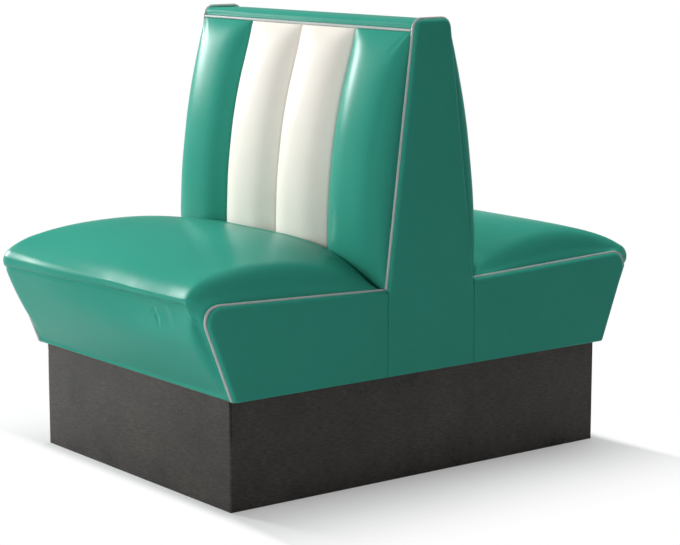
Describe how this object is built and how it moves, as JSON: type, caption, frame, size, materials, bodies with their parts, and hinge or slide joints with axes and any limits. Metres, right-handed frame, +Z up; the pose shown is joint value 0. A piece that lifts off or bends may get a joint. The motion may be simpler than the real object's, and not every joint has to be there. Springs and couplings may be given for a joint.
{
  "type": "restaurant booth seating",
  "caption": "Back-to-back booth seat on a black plinth, with crowned vinyl cushions, a shared channelled back, piping and hidden levelling feet.",
  "frame": {"origin": "on the floor under the middle of the booth", "axes": "+X across the seats, -Y towards the front of the front seat, +Y towards the rear seat's front, +Z up"},
  "size_m": [0.82, 1.3022, 1.0297],
  "materials": {
    "green_vinyl": "smooth glossy upholstery vinyl over foam",
    "white_vinyl": "smooth glossy upholstery vinyl over foam",
    "piping": "silver grey vinyl piping cord",
    "black_laminate": "black laminated board, semi-gloss",
    "plywood": "birch plywood, unfinished",
    "softwood": "planed pine, unfinished",
    "foam": "upholstery foam",
    "steel": "zinc plated steel",
    "foot_plastic": "moulded black plastic on a steel stud"
  },
  "bodies": {
    "booth": {"back_lower_rails": "softwood", "back_side_cover_left": "green_vinyl", "back_side_cover_right": "green_vinyl", "back_side_frame_left": "plywood", "back_side_frame_right": "plywood", "back_side_piping_left": "piping", "back_side_piping_right": "piping", "back_top_rail": "softwood", "cap_cover": "green_vinyl", "cap_padding": "foam", "corner_block_screws": "steel", "front_back_board": "plywood", "front_cap_piping": "piping", "front_channel_inner_left": "white_vinyl", "front_channel_inner_right": "white_vinyl", "front_channel_outer_left": "green_vinyl", "front_channel_outer_right": "green_vinyl", "front_seat_back_rail": "plywood", "front_seat_deck": "plywood", "front_seat_floor": "plywood", "front_seat_foam": "foam", "front_seat_front_board": "plywood", "front_seat_piping_left": "piping", "front_seat_piping_right": "piping", "front_seat_side_boards": "plywood", "front_seat_side_cover_left": "green_vinyl", "front_seat_side_cover_right": "green_vinyl", "front_seat_top_cover": "green_vinyl", "leveller_nuts": "steel", "plinth_bracket_screws": "steel", "plinth_brackets": "steel", "plinth_corner_blocks": "softwood", "plinth_cross_rails": "softwood", "plinth_front_panel": "black_laminate", "plinth_left_panel": "black_laminate", "plinth_rear_panel": "black_laminate", "plinth_right_panel": "black_laminate", "rear_back_board": "plywood", "rear_cap_piping": "piping", "rear_channel_inner_left": "white_vinyl", "rear_channel_inner_right": "white_vinyl", "rear_channel_outer_left": "green_vinyl", "rear_channel_outer_right": "green_vinyl", "rear_seat_back_rail": "plywood", "rear_seat_deck": "plywood", "rear_seat_floor": "plywood", "rear_seat_foam": "foam", "rear_seat_front_board": "plywood", "rear_seat_piping_left": "piping", "rear_seat_piping_right": "piping", "rear_seat_side_boards": "plywood", "rear_seat_side_cover_left": "green_vinyl", "rear_seat_side_cover_right": "green_vinyl", "rear_seat_top_cover": "green_vinyl", "seat_bolts_and_nuts": "steel"},
    "foot_front_left": {"levelling_foot_front_left": "foot_plastic"},
    "foot_front_right": {"levelling_foot_front_right": "foot_plastic"},
    "foot_rear_left": {"levelling_foot_rear_left": "foot_plastic"},
    "foot_rear_right": {"levelling_foot_rear_right": "foot_plastic"}
  },
  "joints": [
    {"name": "leveller_front_left", "type": "slide", "parent": "booth", "child": "foot_front_left", "axis": [0, 0, -1], "range_m": [0, 0.015]},
    {"name": "leveller_front_right", "type": "slide", "parent": "booth", "child": "foot_front_right", "axis": [0, 0, -1], "range_m": [0, 0.015]},
    {"name": "leveller_rear_left", "type": "slide", "parent": "booth", "child": "foot_rear_left", "axis": [0, 0, -1], "range_m": [0, 0.015]},
    {"name": "leveller_rear_right", "type": "slide", "parent": "booth", "child": "foot_rear_right", "axis": [0, 0, -1], "range_m": [0, 0.015]}
  ]
}
